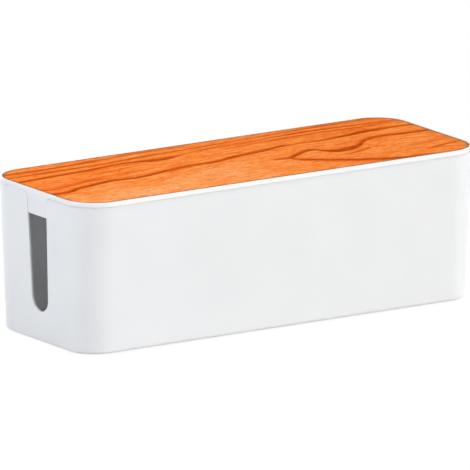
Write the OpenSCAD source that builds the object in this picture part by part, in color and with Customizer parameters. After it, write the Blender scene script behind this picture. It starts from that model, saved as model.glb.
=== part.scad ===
// Cable management box: a moulded tub that hides a power strip and its spare cable, with a cable slot
// in each end and a lift-off lid that carries a wood-grain panel.
// The origin is at the middle of the footprint, on the surface that the feet stand on.
// X runs along the box, the front faces -Y and +Z is up. All sizes are in millimetres.

/* [Tub] */
// Length of the box at its rim, end to end
box_l = 400; // [300:1:500]
// Width of the box at its rim, front to back
box_w = 146; // [120:1:200]
// Height of the tub, from the underside of its base to its rim
tub_h = 125.5; // [90:0.5:180]
// Corner radius at the rim, seen from above
corner_r = 30; // [22:1:45]
// How far each wall leans in on its way down from the rim to the base
draft_in = 5.4; // [0:0.2:8]
// Thickness of the tub's walls
wall_t = 2.4; // [1.6:0.1:3.6]
// Thickness of the tub's base
base_t = 2.6; // [1.8:0.1:4]
// Radius of the outer edge where the walls turn into the base
base_edge_r = 3; // [1:0.5:6]
// Radius inside the tub where the walls meet its floor
floor_edge_r = 1.5; // [0.5:0.5:4]
// Chamfer on the tub's rim and the lid's lower edge, which draws the seam between them
seam_chamfer = 0.3; // [0.1:0.1:0.6]

/* [Cable slots] */
// Width between a slot's straight sides, at the level of the rim
slot_w = 29; // [26:0.5:36]
// Radius of a slot's round lower end
slot_end_r = 12; // [8:0.2:13]
// How far the slots stand in front of the box's middle
slot_offset = 2; // [0:0.5:6]
// Height of a slot's lowest point above the underside of the base
slot_sill_h = 26; // [12:1:45]
// Radius at which a slot's sides roll out into the rim
slot_mouth_r = 7; // [3:0.5:12]

/* [Lid] */
// How far the lid's edge leans in on its way up
lid_lean = 0.6; // [0:0.1:1]
// Width of the lip that frames the panel
lip_w = 1; // [0.8:0.1:4]
// Rounding of the lid's upper outer edge
lid_edge_r = 0.4; // [0.2:0.1:0.8]
// Thickness of the deck under the panel
deck_t = 1.4; // [1.2:0.1:3]
// How far the locating skirt reaches down inside the tub
skirt_h = 7; // [4:0.5:12]
// Thickness of the skirt
skirt_t = 1.6; // [1.2:0.1:2.4]
// Clearance between the skirt and the tub's walls
skirt_gap = 0.5; // [0.3:0.1:1]
// Chamfer that leads the skirt into the tub
skirt_lead = 0.8; // [0.2:0.1:1]
// Break in the skirt on each side of a tongue
skirt_break = 3; // [1:0.5:8]
// How far the tongues hang down from the rim into the cable slots
tongue_h = 17.8; // [10:0.2:40]
// Thickness of a tongue
tongue_t = 2; // [1.4:0.1:2.4]
// How far a tongue's face lies back from the wall's face
tongue_recess = 0.3; // [0:0.1:1]
// Clearance between a tongue and the sides of its slot
tongue_gap = 0.3; // [0.3:0.1:0.8]
// How far the gussets behind a tongue reach into the box
gusset_reach = 7; // [4:0.5:10]
// Thickness of the lid's ribs and gussets
rib_t = 1.2; // [0.8:0.1:2]
// Depth of the ribs under the deck
rib_h = 4; // [2:0.5:6]
// Number of ribs that run across the lid
cross_ribs = 6; // [2:1:12]
// Number of ribs that run along the lid
long_ribs = 2; // [1:1:4]

/* [Panel] */
// Thickness of the wood panel
panel_t = 1.9; // [1:0.1:5]
// Clearance between the panel and the lip
panel_gap = 0.2; // [0.1:0.1:0.5]
// How far the panel's face lies below the top of the lip
panel_sink = 0.1; // [0:0.1:0.6]
// Chamfer round the panel's upper edge
panel_chamfer = 0.3; // [0.1:0.1:0.6]
// Thickness of the adhesive sheet under the panel
adhesive_t = 0.2; // [0.1:0.1:0.6]
// How far the adhesive sheet stops short of the panel's edge
adhesive_margin = 2; // [1:0.5:8]

/* [Vents] */
// Length of a vent slot in the base, across the box
vent_l = 64; // [20:1:80]
// Width of a vent slot
vent_w = 3; // [2:0.1:3.8]
// Distance from one vent slot to the next
vent_pitch = 10; // [8:0.5:16]
// Length of the field of vent slots, along the box
vent_field_l = 240; // [60:10:260]

/* [Feet] */
// Diameter of a foot
foot_d = 14; // [8:0.5:18]
// Height of a foot below the base
foot_h = 1.5; // [1:0.1:4]
// Depth of the seat in the base that a foot is stuck in
foot_seat = 0.6; // [0.3:0.1:1]
// Clearance between a foot and the side of its seat
foot_gap = 0.2; // [0.1:0.1:0.5]
// Distance from a foot's centre to the edges of the base
foot_inset = 18; // [16:0.5:30]
// Chamfer round a foot's lower edge
foot_chamfer = 0.4; // [0.1:0.1:0.8]

/* [Hidden] */

$fn = 96;

// How far a cut runs on past the face it opens
over = 1;

// Heights above the surface that the box stands on
base_z = foot_h;
floor_z = base_z + base_t;
rim_z = base_z + tub_h;
deck_z = rim_z + deck_t;
panel_z = deck_z + adhesive_t;
panel_top_z = panel_z + panel_t;
lid_top_z = panel_top_z + panel_sink;

// The four upright corner axes of the plan. Every wall keeps them, so each corner is a true cone.
axis_x = box_l / 2 - corner_r;
axis_y = box_w / 2 - corner_r;
// Each corner: which side along X, which side along Y, and where its quarter turn starts
CORNERS = [[1, 1, 0], [-1, 1, 90], [-1, -1, 180], [1, -1, 270]];

// Angle by which the walls lean out on their way up
draft_angle = atan(draft_in / tub_h);
// Draft of the tub's wall at a height: how far its face lies in from the rim's outline
function draft_at(z) = draft_in * (rim_z - z) / tub_h;
// Radius of a corner at a height, for a face that lies inside the tub's outer face by an inset
function corner_at(z, inset) = corner_r - draft_at(z) - inset;

// A slot's round end, and the point of a straight side at the rim
slot_centre_z = base_z + slot_sill_h + slot_end_r;
slot_rise = rim_z - slot_centre_z;
// Angle by which a slot's sides open out on their way up, so that they touch the round end
slot_lean = acos(slot_end_r / norm([slot_w / 2, slot_rise])) - atan2(slot_rise, slot_w / 2);
// Axis of the roll that takes a side out into the rim
mouth_y = slot_w / 2 + slot_mouth_r * (1 - sin(slot_lean)) / cos(slot_lean);
mouth_z = rim_z - slot_mouth_r;

// Inside faces of the skirt at the rim, where the ribs end
skirt_inset = wall_t + skirt_gap;
rib_span_x = box_l - 2 * (skirt_inset + skirt_t / 2);
rib_span_y = box_w - 2 * (skirt_inset + skirt_t / 2);
// The upper edge can't be rounder than half of the lip
lid_round = min(lid_edge_r, lip_w / 2);
// The lid's edge face starts above the seam's chamfer and leans in up to the rounding
lid_face_z = rim_z + seam_chamfer;
lid_lean_angle = atan(lid_lean / (lid_top_z - lid_face_z));
lid_round_z = lid_top_z - lid_round;
lid_round_x = corner_r - (lid_round_z - lid_face_z) * tan(lid_lean_angle) - lid_round / cos(lid_lean_angle);
// How far the inside of the lip and the panel's edge lie in from the rim's outline
lip_inset = lid_lean + lip_w;
panel_inset = lip_inset + panel_gap;

// Carries a half section round the plan: a quarter turn at each corner, a straight run along each side.
// The section's x is measured outwards from the corner axes, and its y is the height.
module swept_round() {
    for (c = CORNERS)
        translate([c[0] * axis_x, c[1] * axis_y, 0])
            rotate([0, 0, c[2]])
                rotate_extrude(angle = 90) children();
    for (turn = [0, 180])
        rotate([0, 0, turn]) {
            translate([0, axis_y, 0])
                rotate([90, 0, 90])
                    linear_extrude(2 * axis_x, center = true) children();
            translate([axis_x, 0, 0])
                rotate([90, 0, 0])
                    linear_extrude(2 * axis_y, center = true) children();
        }
}

// The same, with the middle of the plan filled between two heights
module swept_solid(z0, z1) {
    swept_round() children();
    translate([-axis_x, -axis_y, z0])
        cube([2 * axis_x, 2 * axis_y, z1 - z0]);
}

// Half section of a drafted block whose face lies inside the tub's outer face by an inset,
// with a round lower edge and a chamfered upper one
module drafted_section(inset, z0, z1, edge_r, chamfer = 0) {
    edge_x = corner_at(z0, inset) - edge_r * (1 - sin(draft_angle)) / cos(draft_angle);
    polygon([
        [0, z0],
        [edge_x, z0],
        [edge_x + edge_r * cos(draft_angle), z0 + edge_r * (1 - sin(draft_angle))],
        [corner_at(z1 - chamfer, inset), z1 - chamfer],
        [corner_at(z1, inset) - chamfer, z1],
        [0, z1]
    ]);
    translate([edge_x, z0 + edge_r])
        circle(edge_r);
}

// One half of a slot's outline, in Y and Z, drawn smaller by a gap all round
module slot_half(gap) {
    difference() {
        polygon([
            [0, slot_centre_z],
            [(slot_end_r - gap) * cos(slot_lean), slot_centre_z - (slot_end_r - gap) * sin(slot_lean)],
            [mouth_y - (slot_mouth_r + gap) * cos(slot_lean), mouth_z + (slot_mouth_r + gap) * sin(slot_lean)],
            [mouth_y, mouth_z],
            [mouth_y, rim_z],
            [0, rim_z]
        ]);
        translate([mouth_y, mouth_z])
            circle(slot_mouth_r + gap);
    }
}

// A slot's whole outline: a round lower end, sides that open upwards, and a rolled mouth at the rim
module slot_shape(gap) {
    slot_half(gap);
    mirror([1, 0]) slot_half(gap);
    translate([0, slot_centre_z])
        circle(slot_end_r - gap);
}

// Sets its children, drawn about the box's middle, on the slots' middle
module on_slots() {
    translate([0, -slot_offset, 0]) children();
}

// Carries an outline in Y and Z through both ends of the box
module through_ends() {
    rotate([90, 0, 90])
        linear_extrude(box_l + 2 * over, center = true) children();
}

// One row of round-ended vent slots
module vents() {
    steps = floor(vent_field_l / vent_pitch);
    for (i = [0:steps])
        translate([(i - steps / 2) * vent_pitch, 0, base_z - over])
            linear_extrude(base_t + 2 * over) {
                square([vent_w, vent_l - vent_w], center = true);
                for (side = [-1, 1])
                    translate([0, side * (vent_l - vent_w) / 2])
                        circle(d = vent_w);
            }
}

// Puts its child at the centre of a foot: side_x is -1 at the left end, side_y is -1 at the front
module at_foot(side_x, side_y) {
    translate([
        side_x * (box_l / 2 - draft_in - foot_inset),
        side_y * (box_w / 2 - draft_in - foot_inset),
        0
    ])
        children();
}

// The moulded tub: drafted walls, cable slots, vents and foot seats
module tub() {
    color("#F1F2F3")
        difference() {
            swept_solid(base_z, rim_z)
                drafted_section(0, base_z, rim_z, base_edge_r, seam_chamfer);
            swept_solid(floor_z, rim_z + over)
                drafted_section(wall_t, floor_z, rim_z + over, floor_edge_r);
            on_slots()
                through_ends() {
                    slot_shape(0);
                    translate([-mouth_y, rim_z])
                        square([2 * mouth_y, over]);
                }
            vents();
            for (side_x = [-1, 1], side_y = [-1, 1])
                at_foot(side_x, side_y)
                    translate([0, 0, base_z - over])
                        cylinder(d = foot_d + 2 * foot_gap, h = foot_seat + over);
        }
}

// The lid's deck with its leaning edge and its lip
module lid_deck() {
    swept_solid(rim_z, deck_z) {
        polygon([
            [0, rim_z],
            [corner_r - seam_chamfer, rim_z],
            [corner_r, lid_face_z],
            [lid_round_x + lid_round * cos(lid_lean_angle), lid_round_z + lid_round * sin(lid_lean_angle)],
            [lid_round_x, lid_top_z],
            [corner_r - lip_inset, lid_top_z],
            [corner_r - lip_inset, deck_z],
            [0, deck_z]
        ]);
        translate([lid_round_x, lid_round_z])
            circle(lid_round);
    }
}

// The skirt that locates the lid inside the tub, broken where the tongues hang
module lid_skirt() {
    low_z = rim_z - skirt_h;
    difference() {
        swept_round()
            polygon([
                [corner_at(low_z, skirt_inset) - skirt_lead, low_z],
                [corner_at(low_z + skirt_lead, skirt_inset), low_z + skirt_lead],
                [corner_at(rim_z, skirt_inset), rim_z],
                [corner_at(rim_z, skirt_inset + skirt_t), rim_z],
                [corner_at(low_z, skirt_inset + skirt_t), low_z]
            ]);
        on_slots()
            translate([0, 0, rim_z - skirt_h / 2])
                cube([box_l, 2 * (mouth_y + skirt_break), skirt_h + 2 * over], center = true);
    }
}

// The two tongues, which follow the walls' draft and close the upper part of the cable slots.
// They are drawn about the box's middle.
module lid_tongues() {
    low_z = rim_z - tongue_h;
    face_x = box_l / 2 - tongue_recess;
    low_x = face_x - draft_at(low_z);
    intersection() {
        through_ends() slot_shape(tongue_gap);
        for (turn = [0, 180])
            rotate([90, 0, turn])
                linear_extrude(2 * mouth_y, center = true)
                    polygon([
                        [low_x - tongue_t, low_z],
                        [low_x, low_z],
                        [face_x, rim_z],
                        [face_x - tongue_t, rim_z]
                    ]);
    }
    // Two gussets behind each tongue
    for (turn = [0, 180], side = [-1, 1])
        rotate([0, 0, turn])
            translate([0, side * slot_w / 4, 0])
                rotate([90, 0, 0])
                    linear_extrude(rib_t, center = true)
                        polygon([
                            [low_x - tongue_t, low_z],
                            [face_x - tongue_t, rim_z],
                            [face_x - tongue_t - gusset_reach, rim_z]
                        ]);
}

// The ribs that stiffen the deck from below, let into the skirt at their ends
module lid_ribs() {
    for (i = [1:cross_ribs])
        translate([rib_span_x * (i - (cross_ribs + 1) / 2) / cross_ribs, 0, rim_z - rib_h / 2])
            cube([rib_t, rib_span_y, rib_h], center = true);
    for (i = [1:long_ribs])
        translate([0, rib_span_y * (i - (long_ribs + 1) / 2) / long_ribs, rim_z - rib_h / 2])
            cube([rib_span_x, rib_t, rib_h], center = true);
}

// The moulded lid
module lid_tray() {
    color("#F1F2F3") {
        lid_deck();
        lid_skirt();
        on_slots() lid_tongues();
        lid_ribs();
    }
}

// The wood panel, set in the lid's recess
module wood_panel() {
    edge_x = corner_r - panel_inset;
    color("#F5924B")
        swept_solid(panel_z, panel_top_z)
            polygon([
                [0, panel_z],
                [edge_x, panel_z],
                [edge_x, panel_top_z - panel_chamfer],
                [edge_x - panel_chamfer, panel_top_z],
                [0, panel_top_z]
            ]);
}

// The sheet of adhesive that holds the panel on the deck
module panel_adhesive() {
    color("#E9E4D6")
        swept_solid(deck_z, panel_z)
            translate([0, deck_z])
                square([corner_r - panel_inset - adhesive_margin, adhesive_t]);
}

// A round stick-on foot in its seat
module foot(side_x, side_y) {
    color("#45474A")
        at_foot(side_x, side_y)
            rotate_extrude()
                polygon([
                    [0, 0],
                    [foot_d / 2 - foot_chamfer, 0],
                    [foot_d / 2, foot_chamfer],
                    [foot_d / 2, foot_h + foot_seat],
                    [0, foot_h + foot_seat]
                ]);
}

tub();
lid_tray();
wood_panel();
panel_adhesive();
foot(-1, -1);  // foot_front_left
foot(1, -1);  // foot_front_right
foot(-1, 1);  // foot_rear_left
foot(1, 1);  // foot_rear_right
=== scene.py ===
"""The looks of a cable management box: a moulded tub and lid in white ABS, with a wood-grain panel.

Laid out as an add-on: the sizes and colours stand in property groups, and each piece has its operator.
Lengths are in metres. X runs along the box, its front faces -Y and +Z is up."""

import math

import bmesh
import bpy
from bpy.props import FloatProperty, FloatVectorProperty, IntProperty, PointerProperty
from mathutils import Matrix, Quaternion, Vector


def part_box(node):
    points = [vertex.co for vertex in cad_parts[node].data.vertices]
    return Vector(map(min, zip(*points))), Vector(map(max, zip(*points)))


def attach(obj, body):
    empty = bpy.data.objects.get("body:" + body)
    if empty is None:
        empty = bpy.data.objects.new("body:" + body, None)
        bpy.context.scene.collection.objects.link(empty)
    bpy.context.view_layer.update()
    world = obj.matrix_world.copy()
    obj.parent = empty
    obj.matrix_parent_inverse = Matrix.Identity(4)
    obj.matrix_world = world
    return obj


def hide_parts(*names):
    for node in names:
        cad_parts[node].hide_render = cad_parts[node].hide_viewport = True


bl_info = {
    "name": "Cable management box",
    "version": (1, 0, 0),
    "blender": (4, 5, 0),
    "location": "View3D > Sidebar > Cable Box",
    "description": "Builds a moulded cable box with a wood-grain lid around its packed frame",
    "category": "Object",
}

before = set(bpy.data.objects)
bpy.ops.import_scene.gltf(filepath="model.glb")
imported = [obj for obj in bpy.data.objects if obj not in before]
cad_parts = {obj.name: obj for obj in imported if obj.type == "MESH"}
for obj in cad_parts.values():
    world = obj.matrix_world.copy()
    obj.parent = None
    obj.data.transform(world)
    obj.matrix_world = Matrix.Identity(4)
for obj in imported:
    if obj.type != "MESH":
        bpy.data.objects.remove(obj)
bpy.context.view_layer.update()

MM = 0.001
# How far a cut runs on past the face that it opens, and a joint into its neighbour
OVER = 1 * MM
# How far a gusset is sunk into the tongue that it backs
SUNK = 0.25 * MM
# Points that lie nearer to each other than this are welded into one
WELD = 0.001 * MM
# Radius of the plan that sections are carried round. They stand out from it.
SPINE = 10 * MM
# Steps in each quarter turn of the plan, and in each small arc of a section
CORNER_STEPS = 28
ARC_STEPS = 8
# Steps across a rounded edge, and the angle from which an edge counts as crisp
EDGE_STEPS = 3
CRISP = math.radians(35)
# The panel's faces show veneer where their normals rise at least this far, and its sealed edge elsewhere
VENEER_RISE = 0.8
WHITE = (1, 1, 1, 1)

tub_low, tub_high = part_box("tub")
lid_low, lid_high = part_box("lid_tray")
panel_low, panel_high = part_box("wood_panel")
sheet_low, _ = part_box("panel_adhesive")
foot_low, foot_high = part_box("foot_front_left")

# Grain lines of the panel, from its rear to its front. Each has the reach of the shade on its soft side,
# below 0 where that side is its front, and its points: their places along and across the panel from its
# middle and the breadth of the line there, which is 0 where it has faded out. All are in millimetres.
GRAIN_LINES = {
    "far": (4, (
        (-200, 57, 2.5), (-130, 57, 2.5), (-100, 60.5, 2.5), (-80, 62, 2), (-60, 65, 2), (-20, 66, 1.5),
        (20, 70, 0), (200, 80, 0))),
    "rear": (4, (
        (-200, 44.5, 2), (-150, 46, 2.5), (-100, 47.5, 2), (-80, 49, 2.5), (-60, 51.5, 2.5), (-40, 53, 2),
        (0, 55.5, 2), (50, 59, 1.5), (100, 63, 2), (200, 66, 1.5))),
    "knot": (5, (
        (-200, 28, 3), (-150, 32.5, 3), (-120, 35, 3), (-100, 38, 2.5), (-85, 39.5, 2.5), (-70, 38, 3),
        (-58, 36, 6), (-48, 35.5, 6), (-36, 38, 2.5), (-20, 42, 1.5), (0, 46, 2), (30, 48, 1.5),
        (50, 50, 1.5), (80, 53, 2), (100, 54, 2.5), (130, 54, 2.5), (160, 52, 2), (200, 49, 2))),
    "third": (4, (
        (-200, 20, 0), (10, 36, 0), (30, 39.5, 1.5), (50, 42, 1.5), (70, 44, 2), (100, 45.5, 2), (130, 46, 2),
        (150, 44, 2), (190, 47, 1.5), (200, 47.5, 1.5))),
    "main": (6, (
        (-200, -23, 4.5), (-180, -22, 4), (-169, -16.5, 3.5), (-150, -12, 3.5), (-135, -8.5, 3.5),
        (-125, -7.5, 3), (-110, -9.5, 3), (-100, -9, 3), (-80, -4, 3), (-65, -1, 3), (-50, 2, 3),
        (-35, 3.5, 3), (-22, 3, 3), (-10, 5.5, 3), (0, 9, 3), (20, 13, 3), (40, 16, 3), (60, 21, 3),
        (75, 21.5, 2), (90, 20.5, 2), (110, 22, 2.5), (130, 25.5, 4), (150, 29, 5), (165, 29, 4),
        (175, 29, 2.5), (200, 30, 2.5))),
    "brown": (13, (
        (-200, -8, 1.7), (-170, -5, 1.6), (-155, 0, 1.7), (-140, 2, 1.9), (-125, 2, 1.5), (-115, 3, 0.8),
        (-105, 7, 1.3), (-90, 8, 1.1), (-80, 9, 0), (95, 29, 0), (110, 32, 1.1), (130, 36, 1.4),
        (150, 38, 1.4), (165, 39, 0.6), (200, 41, 0))),
    "flame_rear": (8, (
        (-200, -118, 0), (-100, -84, 0), (-50, -60, 0), (0, -36, 0), (20, -21, 0), (27, -17, 2), (40, -19, 3),
        (50, -13, 3), (60, -8, 3), (68, -4.5, 3), (73, -4, 3), (78, -9, 5), (82, -15, 6), (90, -18, 7),
        (100, -17, 7), (110, -14, 5), (118, -9, 3), (125, -2, 3), (135, 4, 3), (150, 7.5, 3), (165, 6, 3),
        (180, 5, 3), (200, 4, 3))),
    "inner": (3, (
        (-200, -60, 0), (85, -34, 0), (95, -31, 2), (105, -27, 2), (115, -24, 2), (125, -21, 0),
        (200, 0, 0))),
    "swirl": (6, (
        (-200, -110, 0), (140, -57, 0), (155, -53, 1), (168, -49, 2), (182, -45, 2), (200, -41, 1.5))),
    "red_swirl": (10, (
        (-200, -60, 0), (120, -44, 0), (145, -38, 1), (165, -33, 1.4), (180, -30, 1.4), (200, -24, 1))),
    "flame_front": (-14, (
        (-200, -110, 0), (-100, -62, 0), (-50, -38, 0), (0, -22, 0), (36, -19.5, 0), (40, -19, 2),
        (45, -26, 3), (55, -33, 3), (65, -40, 3), (75, -46, 3), (90, -54, 3), (105, -61, 3), (120, -66, 3),
        (150, -69, 3), (200, -84, 0))),
}
# The part of the panel's plane that the lines may lie in, and the most that their breadth may be. These
# and the lengths below are in millimetres too.
GRAIN_SPAN = (-120, 80)
BROADEST = 10
# How far a line fades out on its crisp side, and how broad it is where it has its full strength
CRISP_SIDE = 1.5
FULL_BREADTH = 3
# The power by which a line's shade gathers at its crisp side, and how far the lines sway off their points
SHADE_POWER = 1.6
SWAY = 1.2
# Breadth of the growth ring in front of the flame, and of those behind the rear line
FRONT_RING = 60
REAR_RING = 12

# The lamps: the place of each, its width and height, all in metres, its power in watts and whether its
# light is daylight
LAMPS = {
    "front_top": ((0.0, -0.9, 1.5), 1.0, 0.6, 9, False),
    "front_right": ((4.65, -4.56, 1.74), 3.2, 3.2, 246, False),
    "left_side": ((-0.9, -0.05, 0.5), 0.45, 0.45, 3.45, True),
    "above": ((0.0, 0.3, 2.2), 1.6, 1.6, 3, False),
    "behind": ((0.0, 2.4, 0.5), 1.2, 0.8, 22, True),
}
# The point that they look at
LAMP_AIM = Vector((0, 0, 60 * MM))


def linear(code):
    """The linear colour of an sRGB hex code."""
    levels = [int(code[i:i + 2], 16) / 255 for i in (1, 3, 5)]
    return [v / 12.92 if v <= 0.04045 else ((v + 0.055) / 1.055) ** 2.4 for v in levels]


def length(name, description, millimetres):
    """A length property, with its default in millimetres."""
    return FloatProperty(
        name=name, description=description, default=millimetres * MM, unit="LENGTH", precision=5)


def colour(name, description, code):
    """A colour property, with its default as an sRGB hex code."""
    return FloatVectorProperty(
        name=name, description=description, default=linear(code), subtype="COLOR", min=0, max=1)


def angle(name, description, degrees):
    """An angle property, with its default in degrees."""
    return FloatProperty(name=name, description=description, default=math.radians(degrees), subtype="ANGLE")


def how_many(name, description, number):
    """A property that counts pieces."""
    return IntProperty(name=name, description=description, default=number, min=1)


class TubSettings(bpy.types.PropertyGroup):
    """Sizes and colour of the tub."""

    corner: length("Corner radius", "Radius of the corners at the rim, seen from above", 30)
    draft: length("Draft", "How far each wall leans in from the rim down to the base", 5.4)
    wall: length("Wall", "Thickness of the walls", 2.4)
    base: length("Base", "Thickness of the base", 2.6)
    base_edge: length("Base edge", "Radius where the walls turn into the base, outside", 3)
    floor_edge: length("Floor edge", "Radius where the walls meet the floor, inside", 1.5)
    broken_edge: length("Broken edge", "Radius that the mould leaves on a crisp edge", 0.3)
    slot_width: length("Slot width", "Width between a cable slot's sides at the rim", 29)
    slot_end: length("Slot end", "Radius of a cable slot's round lower end", 12)
    slot_offset: length("Slot offset", "How far the cable slots stand in front of the middle", 2)
    slot_sill: length("Slot sill", "Height of a cable slot's lowest point above the base", 26)
    slot_mouth: length("Slot mouth", "Radius at which a cable slot rolls out into the rim", 7)
    vent_length: length("Vent length", "Length of a vent slot, across the box", 64)
    vent_width: length("Vent width", "Width of a vent slot", 3)
    vent_pitch: length("Vent pitch", "Distance from one vent slot to the next", 10)
    vent_count: how_many("Vents", "Number of vent slots in the base", 25)
    colour: colour("ABS colour", "Colour of the tub's plastic", "#F2F2F2")


class LidSettings(bpy.types.PropertyGroup):
    """Sizes and colour of the lid."""

    lean: length("Edge lean", "How far the lid's edge leans in on its way up", 0.6)
    lip: length("Lip", "Width of the lip round the panel", 1)
    edge: length("Lid edge", "Radius of the lid's upper outer edge", 0.4)
    skirt: length("Skirt", "How far the locating skirt reaches down inside the tub", 7)
    skirt_wall: length("Skirt wall", "Thickness of the skirt", 1.6)
    skirt_gap: length("Skirt gap", "Clearance between the skirt and the tub", 0.5)
    skirt_lead: length("Skirt lead", "Chamfer that leads the skirt into the tub", 0.8)
    skirt_break: length("Skirt break", "Break in the skirt on each side of a tongue", 3)
    tongue: length("Tongue", "Thickness of a tongue", 2)
    tongue_recess: length("Tongue recess", "How far a tongue lies back from the wall's face", 0.3)
    tongue_gap: length("Tongue gap", "Clearance between a tongue and the sides of its slot", 0.3)
    gusset: length("Gusset", "How far the gussets behind a tongue reach into the box", 7)
    rib: length("Rib", "Thickness of the ribs and gussets", 1.2)
    rib_depth: length("Rib depth", "Depth of the ribs under the deck", 4)
    cross_ribs: how_many("Cross ribs", "Ribs that run across the lid", 6)
    long_ribs: how_many("Long ribs", "Ribs that run along the lid", 2)
    broken_edge: length("Broken edge", "Radius that the mould leaves on a crisp edge", 0.2)
    colour: colour("ABS colour", "Colour of the lid's plastic", "#EBEBEB")


class PanelSettings(bpy.types.PropertyGroup):
    """Sizes and colours of the wood panel and the sheet under it."""

    chamfer: length("Chamfer", "Chamfer round the panel's face", 0.3)
    # Painted shade: a band this wide round the veneer's face is darkened, standing in for the shade where the
    # panel meets the lid's lip
    edge_width: length("Edge width", "How far the sealer browns the veneer in from its cut edge", 4)
    pale: colour("Pale wood", "Early wood, in the calm part of the panel", "#FBB074")
    warm: colour("Warm wood", "Early wood, in the redder part of the panel", "#FD9E50")
    streak: colour("Streak", "Streaks that follow the growth rings", "#F98336")
    shade: colour("Shade", "The deep orange that a growth ring darkens to before its line", "#EF722A")
    brown: colour("Brown", "What the browner streaks multiply the wood's colour by", "#F0C6A2")
    late: colour("Late wood", "The dark line that ends each growth ring", "#B84E10")
    # The panel edge colour is the sealed edge's own colour on its faces, and on the veneer it is the painted
    # shade along the edge
    edge: colour("Panel edge", "The sealed cut edge of the panel", "#A2693F")
    adhesive: colour("Adhesive", "The sheet that holds the panel", "#E9E4D6")


class FootSettings(bpy.types.PropertyGroup):
    """Sizes and colour of the stick-on feet."""

    seat: length("Seat", "Depth of the seat that a foot is stuck in", 0.6)
    seat_gap: length("Seat gap", "Clearance between a foot and its seat", 0.2)
    edge: length("Foot edge", "Rounding of a foot's lower edge", 0.4)
    colour: colour("Rubber colour", "Colour of the feet", "#45474A")


class StageSettings(bpy.types.PropertyGroup):
    """Camera, lamps and floor."""

    azimuth: angle("Azimuth", "Turn of the camera about the box", -34.0511)
    elevation: angle("Elevation", "Height of the camera above the horizon", 13.256)
    roll: angle("Roll", "Roll of the camera", 0.2423)
    distance: length("Distance", "From the aim to the camera", 18000)
    lens: FloatProperty(name="Lens", description="Focal length in millimetres", default=1665.7, min=1)
    aim: FloatVectorProperty(
        name="Aim", description="The point that the camera looks at", subtype="XYZ", unit="LENGTH",
        default=(-0.67 * MM, 0.83 * MM, 66.63 * MM), precision=5)
    floor: length("Floor", "Width of the floor", 12000)
    ambient: FloatProperty(name="Ambient", description="Strength of the light from all round", default=0.4)
    daylight: colour("Daylight", "Colour of the cooler lamps", "#F2F7FF")


class BoxSettings(bpy.types.PropertyGroup):
    """All settings of the cable box."""

    tub: PointerProperty(name="Tub", description="Settings of the tub", type=TubSettings)
    lid: PointerProperty(name="Lid", description="Settings of the lid", type=LidSettings)
    panel: PointerProperty(name="Panel", description="Settings of the wood panel", type=PanelSettings)
    foot: PointerProperty(name="Feet", description="Settings of the feet", type=FootSettings)
    stage: PointerProperty(name="Stage", description="Settings of the stage", type=StageSettings)


# Node trees

# How many nodes lie in a row in the editor, and the distance from one to the next along and down
ROW_OF_NODES = 12
NODE_PITCH = (220, 260)


def add(tree, kind, inputs=None, **settings):
    """Adds a node with its own settings. Its inputs are values, or the sockets that feed them."""
    node = tree.nodes.new(kind)
    row, column = divmod(len(tree.nodes), ROW_OF_NODES)
    node.location = (column * NODE_PITCH[0], -row * NODE_PITCH[1])
    for name, value in settings.items():
        setattr(node, name, value)
    for key, value in (inputs or {}).items():
        by_name = [s for s in node.inputs if s.enabled and key in (s.name, s.identifier)]
        socket = node.inputs[key] if isinstance(key, int) else by_name[0]
        if isinstance(value, bpy.types.NodeSocket):
            tree.links.new(value, socket)
        else:
            socket.default_value = value
    return node


def maths(tree, operation, value, *others):
    """The result of an operation on values or sockets. More than two are taken in one by one."""
    if not others:
        return add(tree, "ShaderNodeMath", {0: value}, operation=operation).outputs[0]
    for other in others:
        value = add(tree, "ShaderNodeMath", {0: value, 1: other}, operation=operation).outputs[0]
    return value


def geometry_tree(name, sockets):
    """A new Geometry Nodes tree with named inputs, and its group input node."""
    tree = bpy.data.node_groups.new(name, "GeometryNodeTree")
    tree.interface.new_socket("Mesh", in_out="OUTPUT", socket_type="NodeSocketGeometry")
    for socket, kind in sockets.items():
        tree.interface.new_socket(socket, in_out="INPUT", socket_type="NodeSocket" + kind)
    return tree, tree.nodes.new("NodeGroupInput").outputs


def end_tree(tree, geometry, material):
    """Ends a tree in Realize Instances and Set Material."""
    whole = add(tree, "GeometryNodeRealizeInstances", {"Geometry": geometry})
    finished = add(tree, "GeometryNodeSetMaterial", {"Geometry": whole.outputs[0], "Material": material})
    add(tree, "NodeGroupOutput", {"Mesh": finished.outputs[0]})
    return tree


def round_plan_tree():
    """Carries a section round the plan of the box, a rectangle with round corners."""
    tree, given = geometry_tree("section_round_plan", {
        "Section": "Object", "Length": "Float", "Width": "Float", "Radius": "Float", "Steps": "Int",
        "Material": "Material"})
    plan = add(tree, "GeometryNodeCurvePrimitiveQuadrilateral", {
        "Width": given["Length"], "Height": given["Width"]})
    rounded = add(tree, "GeometryNodeFilletCurve", {
        "Curve": plan.outputs[0], "Count": given["Steps"], "Radius": given["Radius"]}, mode="POLY")
    section = add(tree, "GeometryNodeObjectInfo", {"Object": given["Section"]})
    swept = add(tree, "GeometryNodeCurveToMesh", {
        "Curve": rounded.outputs[0], "Profile Curve": section.outputs["Geometry"]})
    return end_tree(tree, swept.outputs[0], given["Material"])


def set_on_points(tree, points, given):
    """Sets copies of the given piece on points, and ends the tree."""
    piece = add(tree, "GeometryNodeObjectInfo", {"Object": given["Piece"], "As Instance": True})
    copies = add(tree, "GeometryNodeInstanceOnPoints", {
        "Points": points.outputs[0], "Instance": piece.outputs["Geometry"]})
    return end_tree(tree, copies.outputs[0], given["Material"])


def row_tree():
    """Sets copies of a piece in a row that is centred on the piece."""
    tree, given = geometry_tree("row_of_copies", {
        "Piece": "Object", "Count": "Int", "Step": "Vector", "Material": "Material"})
    half = maths(tree, "MULTIPLY", maths(tree, "SUBTRACT", given["Count"], 1), -0.5)
    start = add(tree, "ShaderNodeVectorMath", {0: given["Step"], "Scale": half}, operation="SCALE")
    line = add(tree, "GeometryNodeMeshLine", {
        "Count": given["Count"], "Start Location": start.outputs[0], "Offset": given["Step"]})
    return set_on_points(tree, line, given)


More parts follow.
